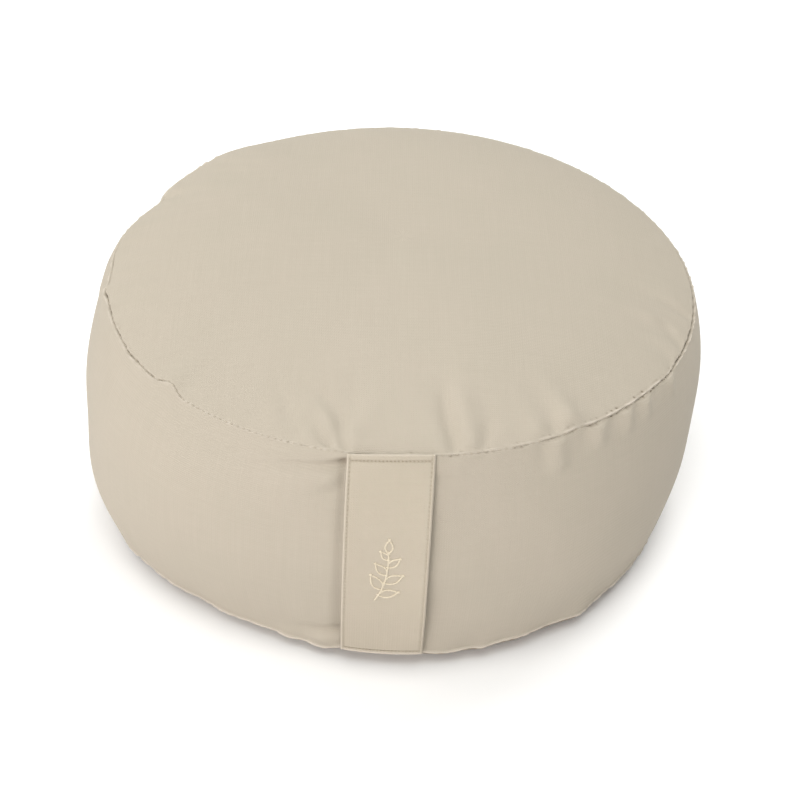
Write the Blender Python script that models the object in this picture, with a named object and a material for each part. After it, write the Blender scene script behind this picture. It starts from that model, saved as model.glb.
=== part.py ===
"""Zafu meditation cushion of cotton twill: a drum-shaped floor cushion with a crowned round
top panel, an upright side band that holds the filling, a round bottom panel that it stands
on, and a wide carry handle sewn over the front of the band.

Metres, +Z up. The origin is the middle of the flat foot, on the floor. The carry handle is
at the front, towards -Y. Azimuth is counted in degrees from +X, so the front is at -90.
"""
import math

import bmesh
import bpy
from mathutils import Vector

# Seams: the top one leans, because the loose filling lies higher on the left and at the back
TOP_SEAM_RADIUS = 0.1575
TOP_SEAM_HEIGHT = 0.139
TOP_SEAM_SHIFT_X = 0.005
TOP_SEAM_SHIFT_Y = 0.001
RISE_TO_RIGHT = -0.036
RISE_TO_BACK = 0.045
FOOT_SEAM_RADIUS = 0.157
FOOT_SEAM_HEIGHT = 0.0065

# The side band's swell between its two seams, fuller on the left and at the front
SWELL = 0.0120
SWELL_TO_RIGHT = -0.0030
SWELL_TO_BACK = -0.0010
SWELL_SKEW = 1.05
SWELL_FULLNESS = 3.0

# No hand-filled drum is quite round: slow waves in the seams and in the swell
TOP_SEAM_WAVES = (
    # waves_round, cosine_part, sine_part
    (2, 0.0000, -0.0014),
    (3, 0.0000, -0.0016),
    (4, 0.0004, 0.0016),
)
TOP_SEAM_LIFT_WAVES = (
    # waves_round, cosine_part, sine_part
    (2, 0.0000, -0.0011),
    (3, -0.0024, 0.0006),
)
FOOT_SEAM_WAVES = (
    # waves_round, cosine_part, sine_part
    (3, -0.0019, -0.0005),
    (4, 0.0000, 0.0016),
)
SWELL_WAVES = (
    # waves_round, cosine_part, sine_part
    (2, 0.0000, 0.0009),
    (3, 0.0013, -0.0005),
    (4, -0.0013, 0.0012),
)

# The top panel's crown, its edge drawn down into the seam, and the flat of the foot
CROWN = 0.019
CROWN_POWER = 2.5
EDGE_ROLL = 0.0025
EDGE_ROLL_WIDTH = 0.0055
FOOT_FLAT_RADIUS = 0.147
FOOT_FLAT_SHARE = FOOT_FLAT_RADIUS / FOOT_SEAM_RADIUS
FOOT_CURL_POWER = 1.5

# Cloth and the gap between neighbouring pieces
PANEL_CLOTH = 0.0015
GAP = 0.0003

# Carry handle: cloth folded double, drawn flat over the band's curve
HANDLE_WIDTH = 0.042
HANDLE_CLOTH = 0.0024
HANDLE_TOP_AZIMUTH = -92.1
HANDLE_FOOT_AZIMUTH = -92.7
HANDLE_FOOT_SHARE = 0.985
HANDLE_SEAM_GAP = 0.0006
HANDLE_STAND_OFF = 0.0012
HANDLE_ROWS = 22
HANDLE_COLUMNS = 6

# Rings are closer in the front half, where the creases gather round the handle
FRONT_STEP = 2.25
BACK_STEP = 4.5
SIDE_SHARES = (0.0, 0.025, 0.06, 0.1, 0.16, 0.24, 0.34, 0.46, 0.58, 0.7, 0.8, 0.88, 0.95, 1.0)
CROWN_SHARES = (0.25, 0.5, 0.68, 0.8, 0.88, 0.94, 0.98, 1.0)
FOOT_SHARES = (0.5, FOOT_FLAT_SHARE, 0.97, 1.0)

# Soft creases (push below 0) and lobes (push above 0) pulled into the cloth by its sewing.
# On the band: azimuth in degrees and share of the way down, from the top seam to the foot.
BAND_FOLDS = (
    # azimuth_1, share_1, azimuth_2, share_2, half_width, push
    (-122.0, 0.10, -100.5, 0.03, 0.0050, -0.0014),
    (-106.0, 0.04, -100.5, 0.03, 0.0040, -0.0016),
    (-101.0, 0.06, -101.5, 0.95, 0.0060, -0.0008),
    (-82.5, 0.06, -76.0, 0.07, 0.0060, -0.0008),
    (-82.0, 0.035, -80.0, 0.035, 0.0060, 0.0008),
    (-65.0, 0.03, -65.5, 0.08, 0.0050, -0.0010),
    (-62.0, 0.03, -62.5, 0.10, 0.0060, 0.0012),
    (-57.0, 0.02, -58.5, 0.10, 0.0050, -0.0013),
    (-53.0, 0.02, -53.5, 0.08, 0.0060, 0.0013),
    (-49.5, 0.02, -50.0, 0.08, 0.0050, -0.0010),
    (-41.0, 0.02, -41.5, 0.10, 0.0060, 0.0010),
    (-136.0, 0.03, -123.0, 0.09, 0.0070, -0.0010),
    (-112.0, 0.80, -100.5, 0.77, 0.0050, -0.0018),
    (-112.0, 0.87, -101.0, 0.86, 0.0060, 0.0010),
    (158.0, 0.03, 170.0, 0.06, 0.0090, 0.0025),
)

# On the top panel: plan coordinates in metres
PANEL_FOLDS = (
    # x_1, y_1, x_2, y_2, half_width, push
    (-0.058, -0.119, -0.040, -0.137, 0.0050, -0.0012),
    (-0.040, -0.137, -0.034, -0.150, 0.0045, -0.0014),
    (-0.047, -0.106, -0.027, -0.134, 0.0055, -0.0013),
    (-0.027, -0.134, -0.025, -0.152, 0.0045, -0.0016),
    (-0.018, -0.148, -0.004, -0.150, 0.0080, 0.0010),
    (0.023, -0.112, 0.027, -0.152, 0.0050, -0.0013),
    (0.031, -0.114, 0.035, -0.150, 0.0055, 0.0012),
    (0.046, -0.130, 0.041, -0.153, 0.0045, -0.0011),
    (0.082, -0.118, 0.086, -0.128, 0.0065, 0.0012),
    (0.074, -0.130, 0.076, -0.136, 0.0050, -0.0010),
    (0.138, -0.046, 0.147, -0.062, 0.0050, -0.0012),
    (0.138, -0.026, 0.152, -0.036, 0.0050, -0.0010),
    (-0.124, 0.086, -0.128, 0.094, 0.0080, -0.0012),
)

# Cotton twill, undyed
CLOTH_COLOUR = (0.630, 0.570, 0.460, 1.0)
HANDLE_COLOUR = (0.610, 0.545, 0.445, 1.0)
CLOTH_ROUGHNESS = 0.9
SHARP_ANGLE = math.radians(40.0)


def fold_push(folds, place, scale):
    """Height that the folds give at a place; scale turns the table's columns to metres."""
    push = 0.0
    for first_1, second_1, first_2, second_2, half_width, height in folds:
        start = Vector((first_1 * scale[0], second_1 * scale[1]))
        run = Vector((first_2 * scale[0], second_2 * scale[1])) - start
        offset = Vector((place[0] * scale[0], place[1] * scale[1])) - start
        along = max(0.0, min(1.0, offset.dot(run) / run.length_squared))
        distance = (offset - run * along).length
        push += height * math.exp(-((distance / half_width) ** 2))
    return push


def outward(azimuth):
    """Level unit vector that points away from the middle at an azimuth."""
    angle = math.radians(azimuth)
    return Vector((math.cos(angle), math.sin(angle), 0.0))


def wave_sum(waves, azimuth):
    """What a table of waves adds at an azimuth."""
    angle = math.radians(azimuth)
    return sum(
        cosine_part * math.cos(count * angle) + sine_part * math.sin(count * angle)
        for count, cosine_part, sine_part in waves
    )


def top_seam(azimuth):
    """A point of the leaning top seam."""
    radius = TOP_SEAM_RADIUS + wave_sum(TOP_SEAM_WAVES, azimuth)
    point = Vector((TOP_SEAM_SHIFT_X, TOP_SEAM_SHIFT_Y, 0.0)) + outward(azimuth) * radius
    point.z = TOP_SEAM_HEIGHT + RISE_TO_RIGHT * point.x + RISE_TO_BACK * point.y
    point.z += wave_sum(TOP_SEAM_LIFT_WAVES, azimuth)
    return point


def foot_seam(azimuth):
    """A point of the level foot seam."""
    radius = FOOT_SEAM_RADIUS + wave_sum(FOOT_SEAM_WAVES, azimuth)
    return outward(azimuth) * radius + Vector((0.0, 0.0, FOOT_SEAM_HEIGHT))


def band_point(azimuth, share):
    """A point of the side band, from the top seam (0) down to the foot seam (1)."""
    middle_line = top_seam(azimuth).lerp(foot_seam(azimuth), share)
    direction = outward(azimuth)
    swell = SWELL + SWELL_TO_RIGHT * direction.x + SWELL_TO_BACK * direction.y
    swell += wave_sum(SWELL_WAVES, azimuth)
    belly = 1.0 - abs(2.0 * share**SWELL_SKEW - 1.0) ** SWELL_FULLNESS
    arc_per_degree = math.radians(TOP_SEAM_RADIUS)
    push = fold_push(BAND_FOLDS, (azimuth, share), (arc_per_degree, TOP_SEAM_HEIGHT))
    return middle_line + direction * (swell * belly + push)


def panel_point(azimuth, share):
    """A point of the crowned top panel, from its middle (0) out to the top seam (1)."""
    middle = Vector((TOP_SEAM_SHIFT_X, TOP_SEAM_SHIFT_Y, TOP_SEAM_HEIGHT))
    point = middle.lerp(top_seam(azimuth), share)
    from_seam = TOP_SEAM_RADIUS * (1.0 - share)
    roll = EDGE_ROLL * (1.0 - math.exp(-from_seam / EDGE_ROLL_WIDTH))
    push = fold_push(PANEL_FOLDS, (point.x, point.y), (1.0, 1.0))
    point.z += CROWN * (1.0 - share**CROWN_POWER) + roll + push
    return point


def foot_point(azimuth, share):
    """A point of the bottom panel: flat on the floor, then curling up to the foot seam."""
    point = foot_seam(azimuth) * share
    curl = max(0.0, (share - FOOT_FLAT_SHARE) / (1.0 - FOOT_FLAT_SHARE))
    point.z = FOOT_SEAM_HEIGHT * curl**FOOT_CURL_POWER
    return point


def ring_azimuths():
    """Azimuths of one ring, in order: the front half first, then the back half."""
    front = [-180.0 + FRONT_STEP * i for i in range(round(180.0 / FRONT_STEP))]
    back = [BACK_STEP * i for i in range(round(180.0 / BACK_STEP))]
    return front + back


AZIMUTHS = ring_azimuths()


def ring(surface, share, lift=0.0):
    """One closed ring of a surface at a share, raised by a lift."""
    return [surface(azimuth, share) + Vector((0.0, 0.0, lift)) for azimuth in AZIMUTHS]


def twill(name, colour):
    """Matt cotton twill."""
    material = bpy.data.materials.new(name)
    material.use_nodes = True
    shader = material.node_tree.nodes["Principled BSDF"]
    shader.inputs["Base Color"].default_value = colour
    shader.inputs["Roughness"].default_value = CLOTH_ROUGHNESS
    shader.inputs["Metallic"].default_value = 0.0
    return material


def finished_object(name, build, material):
    """Turn a bmesh into an object whose faces point out."""
    bmesh.ops.recalc_face_normals(build, faces=build.faces)
    mesh = bpy.data.meshes.new(name)
    build.to_mesh(mesh)
    build.free()
    mesh.materials.append(material)
    mesh.shade_smooth()
    mesh.set_sharp_from_angle(angle=SHARP_ANGLE)
    piece = bpy.data.objects.new(name, mesh)
    bpy.context.scene.collection.objects.link(piece)
    return piece


def round_solid(name, rings, first_pole, last_pole, material):
    """A closed solid through rings of points, from one pole to the other.

    Each four-sided field is split from its inner ring to its outer one, so that two solids
    that share their rings lie face to face everywhere.
    """
    build = bmesh.new()
    loops = [[build.verts.new(point) for point in points] for points in rings]
    count = len(AZIMUTHS)
    for first, second in zip(loops, loops[1:]):
        first_is_inner = first[0].co.xy.length <= second[0].co.xy.length
        inner, outer = (first, second) if first_is_inner else (second, first)
        for i in range(count):
            j = (i + 1) % count
            build.faces.new((inner[i], outer[i], outer[j]))
            build.faces.new((inner[i], outer[j], inner[j]))
    for pole, loop in ((first_pole, loops[0]), (last_pole, loops[-1])):
        tip = build.verts.new(pole)
        for i in range(count):
            build.faces.new((tip, loop[i], loop[(i + 1) % count]))
    return finished_object(name, build, material)


def side_band(material):
    """The band and the filling behind it, under the top panel and over the bottom one."""
    under_panel = -(PANEL_CLOTH + GAP)
    over_foot = PANEL_CLOTH + GAP
    rings = [ring(panel_point, share, under_panel) for share in CROWN_SHARES]
    for share in SIDE_SHARES[1:-1]:
        lift = under_panel + (over_foot - under_panel) * share
        rings.append(ring(band_point, share, lift))
    rings += [ring(foot_point, share, over_foot) for share in reversed(FOOT_SHARES)]
    top_pole = panel_point(0.0, 0.0) + Vector((0.0, 0.0, under_panel))
    foot_pole = Vector((0.0, 0.0, over_foot))
    return round_solid("side_band", rings, top_pole, foot_pole, material)


def top_panel(material):
    """The crowned disc of cloth over the filling."""
    rings = [ring(panel_point, share) for share in CROWN_SHARES]
    rings += [ring(panel_point, share, -PANEL_CLOTH) for share in reversed(CROWN_SHARES)]
    outer_pole = panel_point(0.0, 0.0)
    inner_pole = outer_pole - Vector((0.0, 0.0, PANEL_CLOTH))
    return round_solid("top_panel", rings, outer_pole, inner_pole, material)


def bottom_panel(material):
    """The disc of cloth that the cushion stands on."""
    rings = [ring(foot_point, share) for share in FOOT_SHARES]
    rings += [ring(foot_point, share, PANEL_CLOTH) for share in reversed(FOOT_SHARES)]
    inner_pole = Vector((0.0, 0.0, PANEL_CLOTH))
    return round_solid("bottom_panel", rings, Vector((0.0, 0.0, 0.0)), inner_pole, material)


def handle_section(share):
    """The row of points on the handle's inner face at a share of the way down."""
    centre = HANDLE_TOP_AZIMUTH + (HANDLE_FOOT_AZIMUTH - HANDLE_TOP_AZIMUTH) * share
    direction = outward(centre)
    across = Vector((-direction.y, direction.x, 0.0))
    half_angle = math.degrees(0.5 * HANDLE_WIDTH / TOP_SEAM_RADIUS)
    steps = [2.0 * i / HANDLE_COLUMNS - 1.0 for i in range(HANDLE_COLUMNS + 1)]
    behind = [band_point(centre + half_angle * step, share) for step in steps]
    stand_off = HANDLE_SEAM_GAP + HANDLE_STAND_OFF * math.sqrt(math.sin(math.pi * share))
    reach = max(point.dot(direction) for point in behind) + stand_off
    middle = across * behind[len(behind) // 2].dot(across)
    lift = (PANEL_CLOTH + GAP) * (2.0 * share - 1.0)
    points = []
    for step, point in zip(steps, behind):
        place = middle + across * (0.5 * HANDLE_WIDTH * step) + direction * reach
        place.z = point.z + lift
        points.append(place)
    return points


def carry_handle(material):
    """The doubled strip over the band, from seam to seam."""
    shares = [HANDLE_FOOT_SHARE * i / HANDLE_ROWS for i in range(HANDLE_ROWS + 1)]
    inner = [handle_section(share) for share in shares]
    build = bmesh.new()
    loops = []
    for i, points in enumerate(inner):
        run = inner[min(i + 1, HANDLE_ROWS)][0] - inner[max(i - 1, 0)][0]
        across = points[-1] - points[0]
        face_out = run.cross(across).normalized()
        if face_out.y > 0.0:
            face_out.negate()
        outer = [point + face_out * HANDLE_CLOTH for point in points]
        loops.append([build.verts.new(point) for point in outer + points[::-1]])
    count = len(loops[0])
    for upper, lower in zip(loops, loops[1:]):
        for i in range(count):
            j = (i + 1) % count
            build.faces.new((upper[i], lower[i], lower[j], upper[j]))
    for loop in (loops[0], loops[-1]):
        for i in range(HANDLE_COLUMNS):
            build.faces.new((loop[i], loop[i + 1], loop[-2 - i], loop[-1 - i]))
    return finished_object("carry_handle", build, material)


def main():
    for old in list(bpy.data.objects):
        bpy.data.objects.remove(old, do_unlink=True)
    body_cloth = twill("oatmeal_cotton_twill", CLOTH_COLOUR)
    handle_cloth = twill("handle_cotton_twill", HANDLE_COLOUR)
    cushion = bpy.data.objects.new("zafu", None)
    bpy.context.scene.collection.objects.link(cushion)
    for piece in (
        side_band(body_cloth),
        top_panel(body_cloth),
        bottom_panel(body_cloth),
        carry_handle(handle_cloth),
    ):
        piece.parent = cushion


main()
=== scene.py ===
"""The dressed zafu: cotton twill panels, side band and carry handle, with their sewing.

Metres, +Z up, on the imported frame; a table in millimetres says so. The origin is the middle
of the flat foot, and the carry handle is at the front, towards -Y. Angles round the cushion
are counted from +X.
"""

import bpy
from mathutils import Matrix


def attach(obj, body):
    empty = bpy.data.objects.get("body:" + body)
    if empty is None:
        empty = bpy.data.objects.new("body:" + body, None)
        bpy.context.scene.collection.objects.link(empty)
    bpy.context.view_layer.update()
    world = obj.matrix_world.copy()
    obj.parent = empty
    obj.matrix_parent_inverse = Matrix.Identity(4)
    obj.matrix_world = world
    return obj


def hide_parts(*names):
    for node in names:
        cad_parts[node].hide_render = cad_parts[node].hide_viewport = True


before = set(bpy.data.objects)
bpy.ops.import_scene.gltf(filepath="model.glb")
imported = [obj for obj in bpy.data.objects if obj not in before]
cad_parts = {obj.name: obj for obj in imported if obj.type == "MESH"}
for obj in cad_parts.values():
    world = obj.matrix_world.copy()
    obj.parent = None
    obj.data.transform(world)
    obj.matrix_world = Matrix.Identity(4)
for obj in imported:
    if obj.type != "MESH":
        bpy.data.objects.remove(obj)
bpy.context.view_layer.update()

import math

import bmesh
import bpy
import numpy as np


# --------------------------------------
# The sewn and filled cover: two discs and a long strip of twill, sewn to a drum and filled
# with loose hulls. Its drawn form, with the creases that the sewing pulls into it, is sewn
# up as one coarse cloth here and blown out against its seams by the cloth simulation, and
# the panels and the band below are then made on the form that it settles to.

MM = 0.001
TOP_SEAM_RADIUS = 0.1575
TOP_SEAM_HEIGHT = 0.139
TOP_SEAM_SHIFT_X = 0.005
TOP_SEAM_SHIFT_Y = 0.001
RISE_TO_RIGHT = -0.036
RISE_TO_BACK = 0.045
CROWN = 0.019
CROWN_POWER = 2.5
EDGE_ROLL = 0.0025
EDGE_ROLL_WIDTH = 0.0055
FOOT_SEAM_RADIUS = 0.157
FOOT_SEAM_HEIGHT = 0.0065
SWELL = 0.0120
SWELL_SKEW = 1.05
SWELL_FULLNESS = 3.0
SWELL_FULLNESS_LOW_FRONT = 1.45
BELLY_LINE = 0.51

# Slow waves: how many go round, and the height of the cosine and of the sine in mm
TOP_SEAM_WAVES = ((2, 0, -1.4), (3, 0, -1.6), (4, 0.4, 1.6))
TOP_SEAM_LIFT_WAVES = ((2, 0, -1.1), (3, -2.4, 0.6))
FOOT_SEAM_WAVES = ((3, -1.9, -0.5), (4, 0, 1.6))
SWELL_WAVES = ((1, -2.5, -1), (2, 0, 0.9), (3, 1.3, -0.5), (4, -1.3, 1.2))

# Local pushes: azimuth and half width in degrees, push outwards and push upwards in mm
TOP_SEAM_LOBES = (
    (-176, 5, -1.3, 0), (-169.4, 1.6, 1.8, 0), (-150.5, 2, 0.6, -0.4), (-138, 2.4, -2.5, 2.5),
    (-58, 2, -0.4, 0.6), (-33, 3, 0.6, -0.5), (132, 9, 1.5, 1.8), (156, 5, -2.1, -1.8),
    (163, 6, -1.2, -0.6),
)
FOOT_SEAM_LOBES = (
    (-86, 38, 1.6, 2), (-45, 22, 0, 1), (-62, 12, 0, 1.6), (-150, 18, 1.8, 0.6),
    (-153, 4, 2, -0.8), (-131, 3.5, -1.5, 0), (-124, 1.8, 0.6, 0), (-110, 2.5, 1.2, -1),
    (-103.5, 3.2, 1.8, -2), (-81, 3, 1, -0.8), (-73.5, 2, 1, -0.6), (-66.5, 2.5, 0.8, -0.3),
    (-53.5, 3.6, 2.4, -1),
)
LOBE_REACH = 1.3

# Creases (push below 0) and lobes (push above 0) that the sewing pulls into the band: each is
# a line of points as azimuth in degrees, share of the way down, half width and push in mm
BAND_CREASES = (
    ((-135, 0.005, 2.8, -1.2), (-133, 0.035, 4, -0.3)),
    ((-132, 0.06, 4, -0.4), (-128, 0.065, 4, -0.9), (-123, 0.07, 4, 0)),
    (
        (-123, 0.135, 3, -0.4), (-112, 0.085, 2.4, -1.6), (-103.5, 0.058, 2, -2.4),
        (-100.2, 0.045, 2.4, -3.4),
    ),
    ((-113, 0.13, 5, 0.4), (-103, 0.1, 4.5, 1.4)),
    (
        (-100.2, 0.05, 2.4, -2.2), (-99.9, 0.16, 2.2, -1), (-99.9, 0.55, 3, -1),
        (-100.1, 0.86, 4, -1.6),
    ),
    ((-111, 0.91, 4, 0), (-105, 0.885, 2.8, -1.4), (-99.8, 0.868, 2.2, -3)),
    ((-107, 0.95, 4, 0), (-103, 0.935, 4.5, 1.8), (-100.5, 0.93, 4, 1.4)),
    ((-83, 0.05, 5, 0.8), (-81, 0.05, 5.5, 1)),
    ((-54, 0.88, 16, -1), (-30, 0.8, 18, -0.6)),
    ((-172, 0.72, 16, 1.4), (-150, 0.78, 16, 1)),
    ((-84, 0.09, 4, -1.1), (-78, 0.105, 4.5, 0)),
    ((-76.2, 0, 3.8, -1.2), (-76.4, 0.08, 4.5, -0.1)),
    ((-65.3, 0, 3.5, -0.8), (-65.5, 0.07, 4, -0.2)),
    ((-62.8, 0.01, 4.8, 2.4), (-63.1, 0.09, 5.5, 2)),
    ((-57.2, 0, 3.5, -1), (-57.6, 0.06, 4, -0.2)),
    ((-54, 0, 4.2, 2.8), (-54.3, 0.055, 4.8, 2)),
    ((-50.4, 0, 3, -1), (-50.7, 0.05, 3.5, -0.3)),
    ((-47, 0.01, 4, 2.6), (-47.4, 0.06, 4.4, 1.8)),
    ((-44.2, 0, 2.8, -0.9), (-44.4, 0.05, 3.5, -0.2)),
    ((-41.7, 0.01, 3.8, 2.5), (-42, 0.06, 4.2, 1.6)),
    ((-37.5, 0.01, 3.4, -0.9), (-37.5, 0.06, 3.4, 0)),
    ((-32.8, 0.01, 4, 2.2), (-32.8, 0.06, 4.4, 1.2)),
    ((-189, 0.04, 6, 0.8), (-176, 0.06, 6, 1.8)),
    ((138, 0.02, 5, 1.8), (152, 0.02, 5, 1.8)),
)
FIRST_AZIMUTH = -190.0

# The same in the top panel: each is a line of points as x, y, half width and push in mm
PANEL_CREASES = (
    ((-60, -114, 5, -0.3), (-52, -126, 4.8, -2), (-44, -136, 4.2, -1.4)),
    ((-43, -130, 4, 0), (-37, -137, 3.2, -1.5), (-31, -147, 2.8, -2.2)),
    ((-35, -127, 4, 0), (-31, -138, 4, 0.8)),
    (
        (-47, -106, 5, 0), (-40, -114, 5, -1.5), (-34, -121, 4.6, -2), (-28, -129, 4.2, -2.1),
        (-24.5, -137, 3.6, -2.2), (-22.5, -150, 3, -2.8),
    ),
    ((-21, -144, 5, 1.6), (-13, -147, 5, 0.4)),
    ((23, -114, 4.5, 0), (24.8, -127, 4.6, -2), (27, -139, 4.2, -2.4), (29.5, -153, 3.5, -2.4)),
    ((31, -115, 5.5, 0), (33, -128, 5.8, 1.4), (38, -150, 6.2, 1.4)),
    ((48.5, -133, 3.5, 0), (45.5, -141, 3.4, -1), (42.5, -152, 3.2, -1.6)),
    ((67, -130, 4.5, 0.2), (69, -139, 4.5, 1)),
    ((75, -126, 4, 0), (77, -137, 3.8, -1.4)),
    ((80, -115, 6, 0.6), (85, -130, 5.8, 2.6)),
    ((130, -38, 5, 0.2), (135, -45, 5, 1.2)),
    ((139, -42, 4, 0), (143, -50, 3.8, -1.4), (150, -64, 3.4, -1.4)),
    ((138, -22, 4, 0), (148, -29, 3.8, -1.4), (160, -36, 3.4, -1.4)),
    ((137, -65, 4, 0), (142, -80, 3.4, -1.4)),
    ((-126, 64, 5, -1.6), (-138, 70, 4, -1.6)),
)
SEWN_FLAT = 0.0020
BILLOW_START = 0.012
PANEL_BILLOW = {"seed": 11, "longest": 0.085, "height": 0.28 * MM}
BAND_BILLOW = {"seed": 12, "longest": 0.080, "height": 0.30 * MM}


def bell(offset, half_width):
    """A soft bump: 1 in its middle and 0.37 at its half width."""
    return np.exp(-((offset / half_width) ** 2))


def columns_round(count):
    """The angles of evenly spaced columns round the cushion."""
    return np.arange(count) * math.tau / count


def outward(angle):
    """Level unit vectors away from the middle."""
    return np.stack((np.cos(angle), np.sin(angle), 0.0 * angle), -1)


def waves_round(table, angle):
    """What a table of slow waves adds at each angle."""
    return MM * sum(c * np.cos(count * angle) + s * np.sin(count * angle) for count, c, s in table)


def lobes_round(table, angle, away):
    """What a table of local pushes adds at each angle, outwards and upwards, and at a distance
    from the seam, where a wide push reaches further than a narrow one."""
    out, up = 0.0, 0.0
    for azimuth, half_width, push_out, push_up in table:
        off = np.mod(np.degrees(angle) - azimuth + 180.0, 360.0) - 180.0
        reach = LOBE_REACH * math.radians(half_width) * TOP_SEAM_RADIUS
        near = MM * bell(off, half_width) * bell(away, reach)
        out, up = out + push_out * near, up + push_up * near
    return out, up


def crease_push(creases, first, second, first_scale, second_scale):
    """Height that creases and lobes give at places. Each is a line of points, and swells and
    widens from point to point. The scales turn the two coordinates to metres."""
    push = np.zeros(np.broadcast(first, second).shape)
    for line in creases:
        nearest = np.full(push.shape, np.inf)
        height = np.zeros(push.shape)
        for (first_1, second_1, *size_1), (first_2, second_2, *size_2) in zip(line, line[1:]):
            run_1 = (first_2 - first_1) * first_scale
            run_2 = (second_2 - second_1) * second_scale
            off_1 = (first - first_1) * first_scale
            off_2 = (second - second_1) * second_scale
            along = np.clip((off_1 * run_1 + off_2 * run_2) / (run_1**2 + run_2**2), 0.0, 1.0)
            width, lift = (MM * (a + (b - a) * along) for a, b in zip(size_1, size_2))
            distance = np.hypot(off_1 - along * run_1, off_2 - along * run_2) / width
            height = np.where(distance < nearest, lift, height)
            nearest = np.minimum(distance, nearest)
        push += height * bell(nearest, 1.0)
    return push


def billow(points, seed, longest, height, shortest_share=0.45, count=16):
    """The slow unevenness of cloth over loose hulls: a few low waves that run all ways."""
    draw = np.random.default_rng(seed)
    total = 0.0
    for _ in range(count):
        heading = draw.normal(size=3)
        length = longest * draw.uniform(shortest_share, 1.0) * np.linalg.norm(heading)
        total = total + np.cos(math.tau / length * (points @ heading) + draw.uniform(0.0, math.tau))
    return height * total / math.sqrt(count)


def top_seam(angle, away=0.0):
    """The leaning top seam: higher on the left and at the back, where the hulls lie thicker.
    At a distance away from it, its local lobes have faded."""
    out, up = lobes_round(TOP_SEAM_LOBES, angle, away)
    radius = TOP_SEAM_RADIUS + waves_round(TOP_SEAM_WAVES, angle) + out
    x = TOP_SEAM_SHIFT_X + radius * np.cos(angle)
    y = TOP_SEAM_SHIFT_Y + radius * np.sin(angle)
    z = TOP_SEAM_HEIGHT + up + RISE_TO_RIGHT * x + RISE_TO_BACK * y
    return np.stack((x, y, z + waves_round(TOP_SEAM_LIFT_WAVES, angle)), -1)


def foot_seam(angle, away=0.0):
    """The foot seam, which the filling pushes into low lobes along the front."""
    out, up = lobes_round(FOOT_SEAM_LOBES, angle, away)
    radius = FOOT_SEAM_RADIUS + waves_round(FOOT_SEAM_WAVES, angle) + out
    return np.stack((radius * np.cos(angle), radius * np.sin(angle), FOOT_SEAM_HEIGHT + up), -1)


def panel_face(angle, away):
    """The top panel's face without its sewing, at a distance in from the seam."""
    share = 1.0 - away / TOP_SEAM_RADIUS
    middle = np.array((TOP_SEAM_SHIFT_X, TOP_SEAM_SHIFT_Y, TOP_SEAM_HEIGHT))
    points = middle + (top_seam(angle, away) - middle) * share
    points[:, 2] += CROWN * (1.0 - share**CROWN_POWER)
    points[:, 2] += EDGE_ROLL * (1.0 - math.exp(-away / EDGE_ROLL_WIDTH))
    creases = crease_push(PANEL_CREASES, points[:, 0] / MM, points[:, 1] / MM, MM, MM)
    points[:, 2] += creases * (1.0 - bell(away, SEWN_FLAT))
    points[:, 2] += billow(points, **PANEL_BILLOW) * (1.0 - math.exp(-away / BILLOW_START))
    return points


def band_face(angle, share):
    """The band's face without its sewing, from the top seam (0) down to the foot seam (1)."""
    share = np.broadcast_to(share, angle.shape)
    top = top_seam(angle, share * TOP_SEAM_HEIGHT)
    foot = foot_seam(angle, (1.0 - share) * TOP_SEAM_HEIGHT)
    line = top * (1.0 - share[..., None]) + foot * share[..., None]
    swell = SWELL + waves_round(SWELL_WAVES, angle)
    low_front = np.where(share > BELLY_LINE, np.clip(-np.sin(angle), 0.0, 1.0), 0.0)
    fullness = SWELL_FULLNESS + (SWELL_FULLNESS_LOW_FRONT - SWELL_FULLNESS) * low_front
    belly = 1.0 - np.abs(2.0 * share**SWELL_SKEW - 1.0) ** fullness
    azimuth = np.mod(np.degrees(angle) - FIRST_AZIMUTH, 360.0) + FIRST_AZIMUTH
    push = crease_push(
        BAND_CREASES, azimuth, share, math.radians(TOP_SEAM_RADIUS), TOP_SEAM_HEIGHT
    )
    push = push * (1.0 - bell(share * TOP_SEAM_HEIGHT, SEWN_FLAT))
    return line + outward(angle) * (swell * belly + push)[..., None]


def ring_list(*rows):
    """Rings as columns and distance from a seam, from rows of columns and distances."""
    return [(count, away) for count, aways in rows for away in aways]


# The coarse cloth: 288 columns, one for each stitch of the top seam, and rings 3.5 mm apart
# where it creases. Its seams are held, and cloth is eased into them as a machinist eases it
STITCHES_ROUND = 288
COARSE_RINGS = ring_list(
    (STITCHES_ROUND, np.arange(0.0, 0.0620, 0.0035)),
    (STITCHES_ROUND // 2, np.arange(0.0665, 0.1050, 0.0070)),
    (STITCHES_ROUND // 4, (0.1120, 0.1230, 0.1340)),
    (STITCHES_ROUND // 8, (0.1470,)),
)
COARSE_ROWS = 40
EASED_ROUND = (
    # azimuth, share of the ease
    (-180, 0.3), (-140, 0.5), (-110, 1.0), (-92, 0.1), (-75, 0.8),
    (-55, 0.5), (-20, 0.5), (0, 0.6), (60, 0.4), (120, 0.4),
)
EASED_WIDTH = 0.020
EASE = 0.05
TWILL_CLOTH = {
    "quality": 6, "mass": 0.01, "air_damping": 1.0,
    "tension_stiffness": 15.0, "compression_stiffness": 15.0,
    "shear_stiffness": 2.0, "bending_stiffness": 0.08,
    "tension_damping": 2.0, "compression_damping": 2.0,
    "shear_damping": 2.0, "bending_damping": 0.1,
    "use_pressure": True, "uniform_pressure_force": 8.0,
    "vertex_group_mass": "held", "vertex_group_shrink": "eased", "shrink_max": -EASE,
}
SETTLING_FRAMES = 12
MOST_SETTLING = 0.0025
FINEST_FOLDS = 70


def placed(name, data):
    """An object in the scene, at the origin."""
    made = bpy.data.objects.new(name, data)
    bpy.context.scene.collection.objects.link(made)
    return made


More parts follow.
